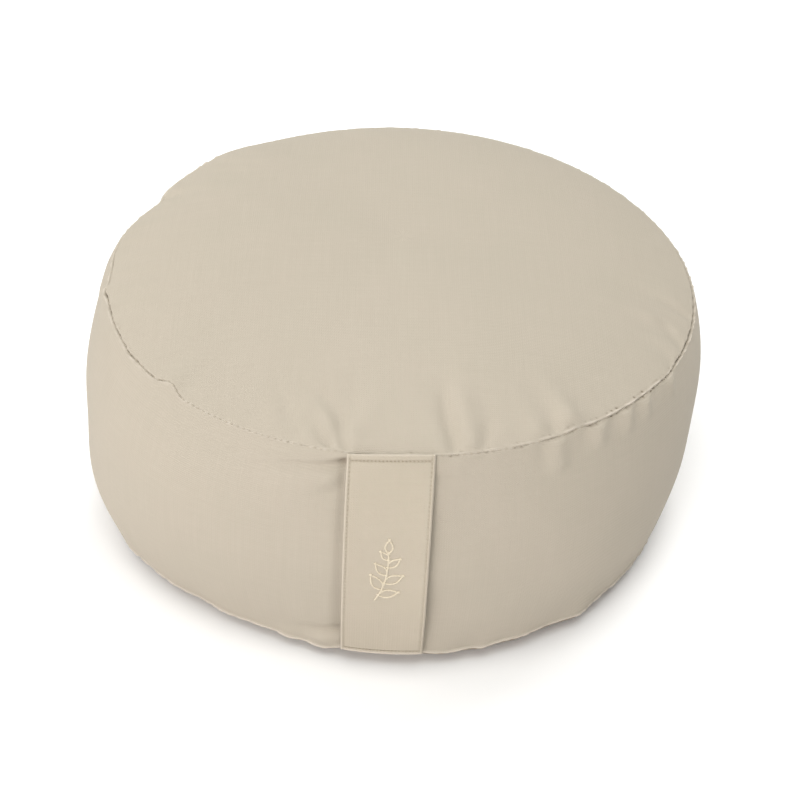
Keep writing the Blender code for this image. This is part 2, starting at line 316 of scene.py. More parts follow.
def mesh_of(name, build):
    """A mesh from a bmesh, with its faces turned outwards."""
    bmesh.ops.recalc_face_normals(build, faces=build.faces)
    mesh = bpy.data.meshes.new(name)
    build.to_mesh(mesh)
    build.free()
    return mesh


def closed_skin(name, rings, poles, flats=None):
    """A mesh through rings of points, from one pole to the other. A ring may have half as many
    points as the one before it, or twice as many. flats holds the rings' places on the flat
    cloth, for the weave, with one more column to close them."""
    build = bmesh.new()
    cloth = build.loops.layers.uv.new("cloth") if flats else None
    loops = [[build.verts.new(point) for point in points] for points in rings]

    def face(*corners, tip=()):
        made = build.faces.new([*tip, *(loops[r][c % len(loops[r])] for r, c in corners)])
        for corner, (r, c) in zip(made.loops, corners[: len(tip)] + corners if flats else ()):
            corner[cloth].uv = flats[r][c]

    for a in range(len(loops) - 1):
        b = a + 1
        few, many = (a, b) if len(loops[a]) < len(loops[b]) else (b, a)
        for i in range(len(loops[few])):
            if len(loops[a]) == len(loops[b]):
                face((a, i), (b, i), (b, i + 1), (a, i + 1))
                continue
            face((many, 2 * i), (many, 2 * i + 1), (few, i))
            face((many, 2 * i + 1), (few, i + 1), (few, i))
            face((many, 2 * i + 1), (many, 2 * i + 2), (few, i + 1))
    for pole, r in zip(poles, (0, len(loops) - 1)):
        tip = build.verts.new(pole)
        for i in range(len(loops[r])):
            face((r, i), (r, i + 1), tip=(tip,))
    return mesh_of(name, build)


def resampled(ring, count, most_waves=STITCHES_ROUND):
    """A closed ring of points read at another number of even places, smoothly."""
    waves = np.fft.rfft(ring, axis=0)[: count // 2 + 1]
    waves[most_waves:] = 0.0
    return np.fft.irfft(waves, count, axis=0) * (count / len(ring))


def settled():
    """How far the filling moves the cover's face from its drawn form: for each ring of the
    panel, and for each row of the band, a shift at each of the columns round it."""
    panel = [panel_face(columns_round(count), away) for count, away in COARSE_RINGS]
    shares = np.arange(1, COARSE_ROWS + 1) / COARSE_ROWS
    rings = panel[::-1] + [band_face(columns_round(STITCHES_ROUND), share) for share in shares]
    mesh = closed_skin("coarse_cloth", rings, (rings[0].mean(0), rings[-1].mean(0)))
    cover = placed("coarse_cloth", mesh)

    # Which ring each point is in, how far that is from the top seam, and how much it is eased
    sizes = [len(ring) for ring in rings]
    starts = np.concatenate(([0], np.cumsum(sizes)))
    panel_aways = [away for _, away in COARSE_RINGS]
    away = np.repeat(np.concatenate((panel_aways[::-1], TOP_SEAM_HEIGHT * shares)), sizes)
    azimuth, ease_share = np.array(EASED_ROUND).T
    place = np.concatenate(rings)
    turn = np.degrees(np.arctan2(place[:, 1], place[:, 0]))
    ease = np.interp(turn, azimuth, ease_share, period=360.0) * bell(away, EASED_WIDTH)
    held = cover.vertex_groups.new(name="held")
    top_ring = len(panel) - 1
    for ring in (top_ring, len(rings) - 1):
        held.add(list(range(starts[ring], starts[ring + 1])), 1.0, "REPLACE")
    held.add([len(mesh.vertices) - 1], 1.0, "REPLACE")
    eased = cover.vertex_groups.new(name="eased")
    for i, amount in enumerate(ease):
        eased.add([i], float(amount), "REPLACE")

    twill = cover.modifiers.new("twill", "CLOTH")
    for name, value in TWILL_CLOTH.items():
        setattr(twill.settings, name, value)
    twill.settings.effector_weights.gravity = 0.0
    twill.collision_settings.use_collision = False
    for frame_number in range(1, SETTLING_FRAMES + 1):
        bpy.context.scene.frame_set(frame_number)
    blown = cover.evaluated_get(bpy.context.evaluated_depsgraph_get()).to_mesh()
    points = np.empty(3 * len(blown.vertices))
    blown.vertices.foreach_get("co", points)
    shift = points.reshape(-1, 3)[: len(place)] - place
    shift /= np.sqrt(1.0 + (shift**2).sum(1, keepdims=True) / MOST_SETTLING**2)
    bpy.context.scene.frame_set(1)
    bpy.data.objects.remove(cover)
    parts = np.split(shift, starts[1:-1])
    shifts = [resampled(part, STITCHES_ROUND, FINEST_FOLDS) for part in parts]
    return shifts[top_ring::-1], shifts[top_ring:]


panel_shifts, band_shifts = settled()
PANEL_SETTLING = (panel_shifts, [away for _, away in COARSE_RINGS])
BAND_SETTLING = (band_shifts, np.arange(COARSE_ROWS + 1) / COARSE_ROWS)


def settling(shifts, places, place, count):
    """The shift that the filling gives a whole ring, read smoothly between the shifts at the
    coarse cloth's places."""
    last = len(places) - 1
    low = min(max(int(np.searchsorted(places, place)) - 1, 0), last - 1)
    before, after = max(low - 1, 0), min(low + 2, last)
    gap = places[low + 1] - places[low]
    t = (min(place, places[last]) - places[low]) / gap
    slope_1 = (shifts[low + 1] - shifts[before]) / (places[low + 1] - places[before]) * gap
    slope_2 = (shifts[after] - shifts[low]) / (places[after] - places[low]) * gap
    ring = (
        (2 * t**3 - 3 * t**2 + 1) * shifts[low]
        + (t**3 - 2 * t**2 + t) * slope_1
        + (3 * t**2 - 2 * t**3) * shifts[low + 1]
        + (t**3 - t**2) * slope_2
    )
    return resampled(ring, count)


# --------------------------------------
# Top panel: a disc of oatmeal cotton twill, sewn face to face with the side band and turned,
# so that its edge rolls down into the seam. The filling under it gives it a low crown, and
# the handle and the lockstitch pull small creases into it along the front.

CLOTH_THICKNESS = 0.0015
SEAM_TURN_IN = 0.0015
TURNED_EDGE_OFF = 0.18 * MM

# A lockstitch every 3.4 mm, and four mesh columns for each, so that each stitch can dimple
COLUMNS = 4 * STITCHES_ROUND

# How the seam sits, round the cushion: nearly flush at the front left, a fine rolled lip
# between two rows of dimples at the front right, and a narrow deep fold at both sides
SEAM_SET = (
    # azimuth, then in mm: groove depth, its half width, panel's lip, band's lip, opening
    (-180, 2.2, 0.6, 0, 0.3, 0.36),
    (-168, 1.5, 0.55, 0, 0.5, 0.2),
    (-158, 0.7, 0.5, 0.1, 0.2, 0.06),
    (-150, 0.9, 0.5, 0.1, 0.3, 0.09),
    (-144, 0.6, 0.5, 0.05, 0.2, 0.04),
    (-137, 0.5, 0.5, 0, 0.2, 0.04),
    (-131, 0.15, 0.5, 0, 0, 0),
    (-100, 0.1, 0.5, 0, 0, 0),
    (-85, 0.3, 0.5, 0.2, 0, 0),
    (-72, 0.2, 0.5, 0.15, 0, 0),
    (-62, 0.4, 0.5, 0.3, 0, 0),
    (-50, 0.5, 0.55, 0.6, 0, 0),
    (-37, 0.6, 0.6, 0.6, 0, 0.03),
    (-30, 1.2, 0.6, 0.2, 0.4, 0.12),
    (-20, 2.1, 0.7, 0, 0.6, 0.3),
    (0, 2.2, 0.8, 0, 0.5, 0.35),
    (40, 1.3, 0.8, 0.2, 0.2, 0.2),
    (90, 1.1, 0.8, 0.2, 0.2, 0.15),
    (130, 1.6, 0.8, 0.1, 0.4, 0.25),
    (137, 1.8, 0.7, 0, 0.6, 0.35),
    (143, 2.2, 0.7, 0, 0.4, 0.45),
    (150, 2.2, 0.7, 0, 0.4, 0.45),
    (153.5, 1.8, 0.7, 0, 0.3, 0.25),
    (160, 2, 0.7, 0, 0.4, 0.3),
    (172, 2.2, 0.6, 0, 0.3, 0.36),
)

# Which of those measures come and go within a few stitches: how much each, and its seed
SEAM_UNEVENNESS = ((0, 0.5, 31), (2, 0.8, 32), (3, 0.9, 33), (4, 0.7, 31))
STITCH_STRENGTH = (0.4, 1.4)
GATHERS_ROUND = (41, 57, 66, 83, 97, 113)
GATHER_HEIGHT = 0.05 * MM
GATHER_REACH = 5.0 * MM
GATHER_START = 1.2 * MM

# The top seam's groove opens outwards and up, and the two cloths meet face to face in it
TOP_GROOVE_ELEVATION = 40.0
GROOVE_BEAT = 0.25
GROOVE_SEED = 3
EVEN_HOLES, BEATEN_HOLES = 0.3, 1.2
LIP_HALF_WIDTH = 0.45 * MM
# Painted light and shade at the top seam: a painted highlight on the rolled lip, and painted shade
# in the dimples and in the groove
LIP_PAINTED_LIGHT_AND_SHADE = 1400.0
TOP_GROOVE_PAINTED_SHADE = 150.0
# Painted light along the cloths' edges where they meet flush, which lightens the dark shading of
# their turned-in edges
FLUSH_DEPTH = 0.4 * MM
FLUSH_PAINTED_LIGHT_WIDTH = 0.5 * MM
LEAST_FLUSH_PAINTED_LIGHT, MORE_FLUSH_PAINTED_LIGHT, FLUSH_SEED = 0.35, 0.5, 39

# Where the mesh has its rings, in metres from a seam: close together at the sewing
SEWN_RINGS = (
    0.0, 0.0003, 0.0006, 0.0009, 0.0013, 0.0017, 0.0022, 0.0028, 0.0036, 0.0047, 0.006, 0.0075
)
PANEL_RINGS = ring_list(
    (COLUMNS, SEWN_RINGS),
    (COLUMNS, np.arange(0.0097, 0.080, 0.0024)),
    (COLUMNS // 2, np.arange(0.0835, 0.118, 0.0040)),
    (COLUMNS // 4, np.arange(0.1195, 0.142, 0.0045)),
    (COLUMNS // 8, (0.1470, 0.1525)),
)
UNDER_RINGS = ring_list(
    (COLUMNS // 2, (0.0025,)),
    (COLUMNS // 4, (0.0060,)),
    (COLUMNS // 8, (0.0200, 0.0500, 0.0900, 0.1300)),
)
CROWN_TIP_POINTS = 8
CROWN_TIP_AWAY = 0.1574


def uneven(angle, seed, shortest=0.004, longest=0.020, count=14):
    """Numbers from 0 to 1 that come and go along the seam, over lengths in metres."""
    draw = np.random.default_rng(seed)
    total = 0.0
    for length in draw.uniform(shortest, longest, count):
        waves = round(math.tau * TOP_SEAM_RADIUS / length)
        total = total + np.cos(waves * angle + draw.uniform(0.0, math.tau))
    return 0.5 + 0.5 * np.tanh(0.5 * total)


def seam_set(angle):
    """Groove depth and half width, both lips and opening of the top seam at each angle. Hand
    feeding makes some of them uneven."""
    azimuth, *measures = np.array(SEAM_SET).T
    turn = np.degrees(angle)
    measures = [MM * np.interp(turn, azimuth, measure, period=360.0) for measure in measures]
    for which, share, seed in SEAM_UNEVENNESS:
        measures[which] = measures[which] * (1.0 - share + 2.0 * share * uneven(angle, seed))
    return measures


def stitch_beat(angle, seed):
    """1 at a stitch's hole and 0 between, uneven from stitch to stitch as hand-fed sewing is."""
    strength = np.random.default_rng(seed).uniform(*STITCH_STRENGTH, STITCHES_ROUND)
    turns = np.mod(angle / math.tau, 1.0) * STITCHES_ROUND
    nearest = np.mod(np.round(turns).astype(int), STITCHES_ROUND)
    return strength[nearest] * np.maximum(0.0, np.cos(math.tau * turns))


def gathers(angle, away, seed):
    """Fine puckers that the stitches draw into the cloth, fading out away from the seam."""
    draw = np.random.default_rng(seed)
    total = 0.0
    for count in GATHERS_ROUND:
        total = total + draw.uniform(0.4, 1.0) * np.cos(count * angle + draw.uniform(0.0, math.tau))
    fade = math.exp(-away / GATHER_REACH) * (1.0 - math.exp(-away / GATHER_START))
    return GATHER_HEIGHT * fade * total


def tilted(angle, elevation):
    """Unit vectors that point outwards and up by an elevation in degrees."""
    rise = math.radians(elevation)
    return math.cos(rise) * outward(angle) + np.array((0.0, 0.0, math.sin(rise)))


def top_sewing(angle, away, lip, lip_away, dimples_away, beat, seeds):
    """How the top seam's sewing lifts one of its cloths at a distance from the seam, and the light
    and shade painted on it there. A groove lies at the seam with painted shade in it, a rolled
    lip beside it has a painted highlight, and a row of dimples has the stitches' beat and painted
    shade. Where the cloths meet flush, their edges are painted lighter."""
    measures = seam_set(angle)
    depth, half_width, panel_lip = measures[:3]
    drawn = 1.0 + GROOVE_BEAT * stitch_beat(angle, GROOVE_SEED)
    groove = depth * drawn * bell(away, half_width)
    roll = measures[lip] * bell(away - lip_away, LIP_HALF_WIDTH)
    holes = EVEN_HOLES * uneven(angle, seeds[0]) + BEATEN_HOLES * beat * uneven(angle, seeds[1])
    dimple = panel_lip * holes * bell(away - dimples_away, LIP_HALF_WIDTH)
    # Painted light where the seam is flush
    flush = LEAST_FLUSH_PAINTED_LIGHT + MORE_FLUSH_PAINTED_LIGHT * uneven(angle, FLUSH_SEED)
    flush = flush * np.clip(1.0 - depth / FLUSH_DEPTH, 0.0, 1.0) * bell(away, FLUSH_PAINTED_LIGHT_WIDTH)
    # Painted highlight on the lip, painted shade in the dimples and the groove, and painted light
    # where the seam is flush
    painted_light_and_shade = LIP_PAINTED_LIGHT_AND_SHADE * (roll - dimple) - TOP_GROOVE_PAINTED_SHADE * groove + flush
    return roll - dimple - groove + gathers(angle, away, seeds[2]), painted_light_and_shade


def panel_ring(count, away, below=0.0):
    """A ring of the top panel at a distance in from the seam, and the light and shade painted on it
    there.
    """
    angle = columns_round(count)
    points = panel_face(angle, away)
    points += settling(*PANEL_SETTLING, away, count) - (0.0, 0.0, below)
    push, painted_light_and_shade = top_sewing(
        angle, away, lip=2, lip_away=0.7 * MM, dimples_away=1.5 * MM,
        beat=stitch_beat(angle, 4), seeds=(34, 35, 5),
    )
    return points + tilted(angle, TOP_GROOVE_ELEVATION) * push[:, None], painted_light_and_shade


def turned_in(ring, seam_out, side, depth, opening):
    """The cloth's edge in a groove: its face and its turned-in edge, on one side of the opening.
    side is 1 for the cloth above the opening and -1 for the one below it."""
    points, painted_light_and_shade = ring
    flat = np.cross(seam_out, np.roll(points, -1, 0) - np.roll(points, 1, 0))
    flat *= side * np.sign(flat[:, 2:]) / np.linalg.norm(flat, axis=1)[:, None]
    face = points + flat * (0.5 * opening)[:, None]
    return (face, painted_light_and_shade), (points + flat * TURNED_EDGE_OFF - seam_out * depth, painted_light_and_shade)


def finished(mesh, painted_light_and_shade, material):
    """A cloth piece from its mesh, with the light and shade painted on it for the material."""
    mesh.attributes.new("painted_light_and_shade", "FLOAT", "POINT").data.foreach_set("value", painted_light_and_shade.astype(np.float32))
    mesh.materials.append(material)
    mesh.shade_smooth()
    return placed(mesh.name, mesh)


def loft(name, rings, poles, material, flats=None):
    """A closed cloth piece through rings of points and the light and shade painted on them. Its
    weave lies as on a flat disc, in plan, unless flats gives the rings' places on the flat cloth."""
    points, painted_light_and_shade = zip(*rings)
    flats = flats or [np.vstack((ring[:, :2], ring[:1, :2])) for ring in points]
    painted_light_and_shade = np.concatenate((*painted_light_and_shade, np.zeros(len(poles))))
    return finished(closed_skin(name, points, poles, flats), painted_light_and_shade, material)


def linear(hex_colour):
    """An sRGB hex colour as linear red, green, blue and alpha."""
    parts = [int(hex_colour[i : i + 2], 16) / 255.0 for i in (0, 2, 4)]
    return [p / 12.92 if p <= 0.04045 else ((p + 0.055) / 1.055) ** 2.4 for p in parts] + [1.0]


def wired(tree, made, inputs):
    """A node whose inputs get a value each, or a link from a node or from one of its outputs."""
    for key, value in inputs.items():
        socket = next(s for i, s in enumerate(made.inputs) if s.enabled and key in (i, s.name))
        if isinstance(value, bpy.types.Node):
            value = next(s for s in value.outputs if s.enabled)
        if isinstance(value, bpy.types.NodeSocket):
            tree.links.new(value, socket)
        else:
            socket.default_value = value
    return made


def node(tree, kind, inputs, **settings):
    """Adds a node with its settings and its inputs."""
    made = tree.nodes.new(kind)
    for key, value in settings.items():
        setattr(made, key, value)
    return wired(tree, made, inputs)


def plain_material(name):
    """A material, its tree and its shader."""
    material = bpy.data.materials.new(name)
    material.use_nodes = True
    return material, material.node_tree, material.node_tree.nodes["Principled BSDF"]


# A wave texture repeats every tau / 20 of its own units, or every tau / 10 on the diagonal
WAVE_UNIT = math.tau / 20.0
PATCH_WIDTH = 40.0 * MM
SLUB_PITCH = 0.9 * MM
LEVEL_SLUB = 30.0 * MM
UPRIGHT_SLUB = 45.0 * MM
SLUB_HEIGHT_SHARE = 0.35
SLUB_PALENESS = 0.09
SLUB_THIN, SLUB_THICK = 0.85, 1.35
THREAD_CONTRAST = 0.20
BRIGHTEST_PAINTED_HIGHLIGHT = 0.8


def cotton_twill(name, tones, rib_pitch, rib_height):
    """Undyed cotton twill, ring-spun and plain washed: matt, with a faint diagonal rib, thick
    and thin threads that run level, and patches a little warmer or greener than the rest.
    Its real rib is about 0.6 mm, which is finer than a pixel here, so it is drawn coarser."""
    warm, green, pale, shade = (linear(tone) for tone in tones)
    material, tree, shader = plain_material(name)
    flat = node(tree, "ShaderNodeUVMap", {}, uv_map="cloth")

    # Patches from uneven spinning and undyed fibre
    patch = node(tree, "ShaderNodeTexNoise", {
        "Vector": flat, "Scale": 1 / PATCH_WIDTH, "Detail": 3.0,
    })

    # Slubs: threads that thicken for a few centimetres, more of them level than upright
    level, upright = (
        node(tree, "ShaderNodeTexNoise", {
            "Vector": node(tree, "ShaderNodeMapping", {"Vector": flat, "Scale": scale}),
            "Scale": 1.0, "Detail": 1.0,
        })
        for scale in (
            (1 / LEVEL_SLUB, 1 / SLUB_PITCH, 1.0), (1 / SLUB_PITCH, 1 / UPRIGHT_SLUB, 1.0),
        )
    )
    slubs = node(tree, "ShaderNodeMath", {0: level, 1: upright}, operation="ADD")

    # The rib, and the threads that cross it
    rib, weft = (
        node(tree, "ShaderNodeTexWave", {
            "Vector": flat, "Scale": repeat / rib_pitch, "Distortion": bent, "Detail": 1.0,
        }, wave_type="BANDS", bands_direction=way).outputs["Fac"]
        for way, repeat, bent in (("DIAGONAL", 2.0 * WAVE_UNIT, 1.2), ("Y", WAVE_UNIT, 0.8))
    )
    weave = node(tree, "ShaderNodeMath", {0: rib, 1: weft}, operation="MULTIPLY")
    height = node(tree, "ShaderNodeMath", {
        0: slubs, 1: SLUB_HEIGHT_SHARE, 2: weave,
    }, operation="MULTIPLY_ADD")
    bump = node(tree, "ShaderNodeBump", {"Distance": rib_height, "Height": height})

    # Darker between the threads and paler on slubs; painted shade in grooves and pits, and a
    # painted highlight on lips and folded edges
    between = node(tree, "ShaderNodeMapRange", {
        "Value": weave, "To Min": THREAD_CONTRAST, "To Max": 0.0,
    })
    thick = node(tree, "ShaderNodeMapRange", {
        "Value": slubs, "From Min": SLUB_THIN, "From Max": SLUB_THICK, "To Max": SLUB_PALENESS,
    })
    # Painted light and shade from the mesh: below 0 it mixes towards the shade tone as painted
    # shade, above 0 towards the pale tone as a painted highlight
    painted_light_and_shade = node(tree, "ShaderNodeAttribute", {}, attribute_name="painted_light_and_shade").outputs["Fac"]
    painted_shade = node(tree, "ShaderNodeMapRange", {"Value": painted_light_and_shade, "From Min": 0.0, "From Max": -1.0})
    painted_highlight = node(tree, "ShaderNodeMapRange", {"Value": painted_light_and_shade, "To Max": BRIGHTEST_PAINTED_HIGHLIGHT})
    layers = ((patch, green), (between, shade), (thick, pale), (painted_shade, shade), (painted_highlight, pale))
    tone = warm
    for share, colour in layers:
        tone = node(tree, "ShaderNodeMix", {
            "Factor": share, "A": tone, "B": colour,
        }, data_type="RGBA")
    wired(tree, shader, {
        "Base Color": tone, "Normal": bump, "Roughness": 0.92, "Specular IOR Level": 0.20,
        "Sheen Weight": 0.04, "Sheen Roughness": 0.55,
    })
    return material


body_twill = cotton_twill(
    "oatmeal_cotton_twill", ("b9afa0", "b5ad9d", "cbc2b4", "8c8170"), 1.1 * MM, 0.08 * MM
)

seam_angle = columns_round(COLUMNS)
top_groove_out = tilted(seam_angle, TOP_GROOVE_ELEVATION)
top_opening = seam_set(seam_angle)[4]
face_rings = [panel_ring(count, away) for count, away in PANEL_RINGS]
face_rings[0], edge_ring = turned_in(face_rings[0], top_groove_out, 1, SEAM_TURN_IN, top_opening)
under_rings = [panel_ring(count, away, CLOTH_THICKNESS) for count, away in UNDER_RINGS]
panel_rings = face_rings[::-1] + [edge_ring] + under_rings
crown_middle = panel_ring(CROWN_TIP_POINTS, CROWN_TIP_AWAY)[0].mean(0)
panel_poles = (crown_middle, crown_middle - (0.0, 0.0, CLOTH_THICKNESS))
top_cover = loft("top_cover", panel_rings, panel_poles, body_twill)
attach(top_cover, "root")
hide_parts("top_panel")


# --------------------------------------
# Bottom panel: the same disc again, sewn to the band's lower edge. It lies flat on the floor
# under the weight of the hulls, and curls up to its seam over the last centimetre.

FOOT_FLAT_SHARE = 0.147 / FOOT_SEAM_RADIUS
FOOT_CURL_POWER = 1.5
FOOT_GROOVE_DEPTH = 0.0010
FOOT_GROOVE_HALF_WIDTH = 0.0005
FOOT_GROOVE_OPENING = 0.00015
FOOT_GROOVE_ELEVATION = -37.0
FOOT_GROOVE_BEAT, FOOT_GROOVE_SEED = 0.3, 6
# Painted shade on the bottom panel: darker in the foot seam's groove and over its curl under the
# cushion
FOOT_PANEL_GROOVE_PAINTED_SHADE = 0.5
FOOT_CURL_PAINTED_SHADE = 1.6
FOOT_RINGS = ring_list(
    (COLUMNS, (0.0, 0.0004, 0.0009, 0.0014, 0.0020, 0.0032, 0.0050)),
    (COLUMNS // 2, (0.0070, 0.0085)),
    (COLUMNS // 4, (0.0100, 0.0150, 0.0250, 0.0500)),
    (COLUMNS // 8, (0.0800, 0.1100, 0.1400)),
)


def foot_groove(angle, away):
    """How deep the foot seam's stitches draw the cloth in, at a distance from the seam."""
    depth = FOOT_GROOVE_DEPTH * (1.0 + FOOT_GROOVE_BEAT * stitch_beat(angle, FOOT_GROOVE_SEED))
    return depth * bell(away, FOOT_GROOVE_HALF_WIDTH)


def foot_ring(count, away, above=0.0):
    """A ring of the bottom panel at a distance in from the foot seam, and its painted shade."""
    angle = columns_round(count)
    share = 1.0 - away / FOOT_SEAM_RADIUS
    curl = max(0.0, (share - FOOT_FLAT_SHARE) / (1.0 - FOOT_FLAT_SHARE)) ** FOOT_CURL_POWER
    points = foot_seam(angle, away) * (share, share, curl) + (0.0, 0.0, above)
    groove = foot_groove(angle, away)
    points -= tilted(angle, FOOT_GROOVE_ELEVATION) * groove[:, None]
    points[:, 2] = np.maximum(points[:, 2], above)
    # Painted shade, darker in the groove and over the curl
    return points, -FOOT_PANEL_GROOVE_PAINTED_SHADE * groove / FOOT_GROOVE_DEPTH - FOOT_CURL_PAINTED_SHADE * curl


foot_groove_out = tilted(seam_angle, FOOT_GROOVE_ELEVATION)
foot_opening = np.full(COLUMNS, FOOT_GROOVE_OPENING)
foot_face = [foot_ring(count, away) for count, away in FOOT_RINGS]
foot_face[0], foot_edge = turned_in(foot_face[0], foot_groove_out, -1, SEAM_TURN_IN, foot_opening)
foot_inner = [foot_ring(count, away, CLOTH_THICKNESS) for count, away in UNDER_RINGS]
foot_rings = foot_face[::-1] + [foot_edge] + foot_inner
foot_poles = ((0.0, 0.0, 0.0), (0.0, 0.0, CLOTH_THICKNESS))
foot_cover = loft("foot_cover", foot_rings, foot_poles, body_twill)
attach(foot_cover, "root")
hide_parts("bottom_panel")


# --------------------------------------
# Side band: a long strip of the same twill joined to a ring, sewn between the two panels and
# then filled with loose hulls. The filling pushes it out to a belly that is fullest low on
# the left and at the front, and the sewing pulls short lobes and creases under its top seam.

# The strip's width, which is its way down from seam to seam, and where it has its rings
BAND_WIDTH = TOP_SEAM_HEIGHT
band_edge = np.array(SEWN_RINGS)
BAND_AWAY = np.concatenate((
    band_edge,
    np.arange(0.0088, 0.030, 0.0013),
    np.linspace(0.0310, 0.1165, 26),
    np.linspace(0.1190, BAND_WIDTH - 0.0090, 6),
    BAND_WIDTH - band_edge[::-1],
))
FILLING_CLEARANCE = CLOTH_THICKNESS + 0.0004

# Over the foot seam the filling rolls the band's cloth to a lip, which has a painted highlight,
# with a fold above it; the foot seam's groove gets painted shade
FOOT_LIP = 1.1 * MM
FOOT_LIP_AWAY = 1.3 * MM
FOOT_LIP_HALF_WIDTH = 0.8 * MM
FOOT_LIP_PAINTED_HIGHLIGHT, FOOT_LIP_SEED = 1600.0, 38
FOOT_FOLD = 0.3 * MM
FOOT_FOLD_AWAY = 3.4 * MM
FOOT_FOLD_HALF_WIDTH = 1.0 * MM
BAND_FOOT_GROOVE_PAINTED_SHADE = 300.0


def band_ring(away_top, away_foot):
    """A ring of the band's face at distances from its two seams, and the light and shade painted on
    it there.
    """
    angle = seam_angle
    share = away_top / (away_top + away_foot)
    points = band_face(angle, share)
    points += settling(*BAND_SETTLING, share, COLUMNS)
    away = min(away_top, away_foot)
    slack = billow(points, **BAND_BILLOW) * (1.0 - math.exp(-away / BILLOW_START))
    points += outward(angle) * slack[:, None]
    push, painted_light_and_shade = top_sewing(
        angle, away_top, lip=3, lip_away=0.8 * MM, dimples_away=0.5 * MM,
        beat=stitch_beat(angle + math.pi / STITCHES_ROUND, 7), seeds=(36, 37, 8),
    )
    points += tilted(angle, TOP_GROOVE_ELEVATION) * push[:, None]
    groove = foot_groove(angle, away_foot)
    lip = FOOT_LIP * (0.5 + 0.5 * uneven(angle, FOOT_LIP_SEED))
    lip = lip * bell(away_foot - FOOT_LIP_AWAY, FOOT_LIP_HALF_WIDTH)
    fold = FOOT_FOLD * bell(away_foot - FOOT_FOLD_AWAY, FOOT_FOLD_HALF_WIDTH)
    points -= tilted(angle, FOOT_GROOVE_ELEVATION) * groove[:, None]
    points += outward(angle) * (lip - fold)[:, None]
    # Painted highlight on the foot lip and painted shade in the foot seam's groove
    return points, painted_light_and_shade + FOOT_LIP_PAINTED_HIGHLIGHT * lip - BAND_FOOT_GROOVE_PAINTED_SHADE * groove


side_rings = [band_ring(away, BAND_WIDTH - away) for away in BAND_AWAY]
side_rings[0], upper_edge = turned_in(
    side_rings[0], top_groove_out, -1, FILLING_CLEARANCE, top_opening
)
side_rings[-1], lower_edge = turned_in(
    side_rings[-1], foot_groove_out, 1, FILLING_CLEARANCE, foot_opening
)
crown_rings = [panel_ring(count, away, FILLING_CLEARANCE) for count, away in UNDER_RINGS]
floor_rings = [foot_ring(count, away, FILLING_CLEARANCE) for count, away in UNDER_RINGS]
band_rings = crown_rings[::-1] + [upper_edge] + side_rings + [lower_edge] + floor_rings

# The strip's flat length is the way round it, and its flat width the way down
hidden = len(crown_rings) + 1
band_flats = []
for number, (points, _) in enumerate(band_rings):
    round_it = np.linspace(0.0, math.tau * TOP_SEAM_RADIUS, len(points) + 1)
    row = min(max(number - hidden, 0), len(BAND_AWAY) - 1)
    band_flats.append(np.stack((round_it, np.full(len(points) + 1, -BAND_AWAY[row])), -1))
band_poles = (crown_middle - (0.0, 0.0, FILLING_CLEARANCE), (0.0, 0.0, FILLING_CLEARANCE))
band_cover = loft("band_cover", band_rings, band_poles, body_twill, band_flats)
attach(band_cover, "root")
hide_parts("side_band")


# --------------------------------------
# Seam thread: the cotton-polyester lockstitch that joins the band to both panels. Turned
# right side out, it shows only as short pale stitches in the bottom of each groove.

THREAD_PLY = 0.5 * MM
THREAD_FUZZ = 4.0 * MM
THREAD_RELIEF = 0.04 * MM
SEAM_STITCH = {"length": 1.5 * MM, "thickness": 0.42 * MM, "wander": 0.25}
SEAM_THREAD_SEAT = 0.20 * MM


def sewing_thread(name, pale, shade, roughness):
    """Spun polyester-cotton thread: a little paler and smoother than the twill it lies on,
    with two plies twisted round each other, drawn at 0.5 mm so that they show."""
    material, tree, shader = plain_material(name)
    place = node(tree, "ShaderNodeTexCoord", {}).outputs["Object"]
    ply = node(tree, "ShaderNodeTexWave", {
        "Vector": place, "Scale": 2.0 * WAVE_UNIT / THREAD_PLY, "Distortion": 0.5,
    }, wave_type="BANDS", bands_direction="DIAGONAL").outputs["Fac"]
    fuzz = node(tree, "ShaderNodeTexNoise", {
        "Vector": place, "Scale": 1 / THREAD_FUZZ, "Detail": 2.0,
    })
    share = node(tree, "ShaderNodeMath", {0: ply, 1: fuzz}, operation="MULTIPLY")
    tone = node(tree, "ShaderNodeMix", {
        "Factor": share, "A": linear(shade), "B": linear(pale),
    }, data_type="RGBA")
    bump = node(tree, "ShaderNodeBump", {"Distance": THREAD_RELIEF, "Height": ply})
    wired(tree, shader, {
        "Base Color": tone, "Normal": bump, "Roughness": roughness, "Sheen Weight": 0.15,
    })
    return material


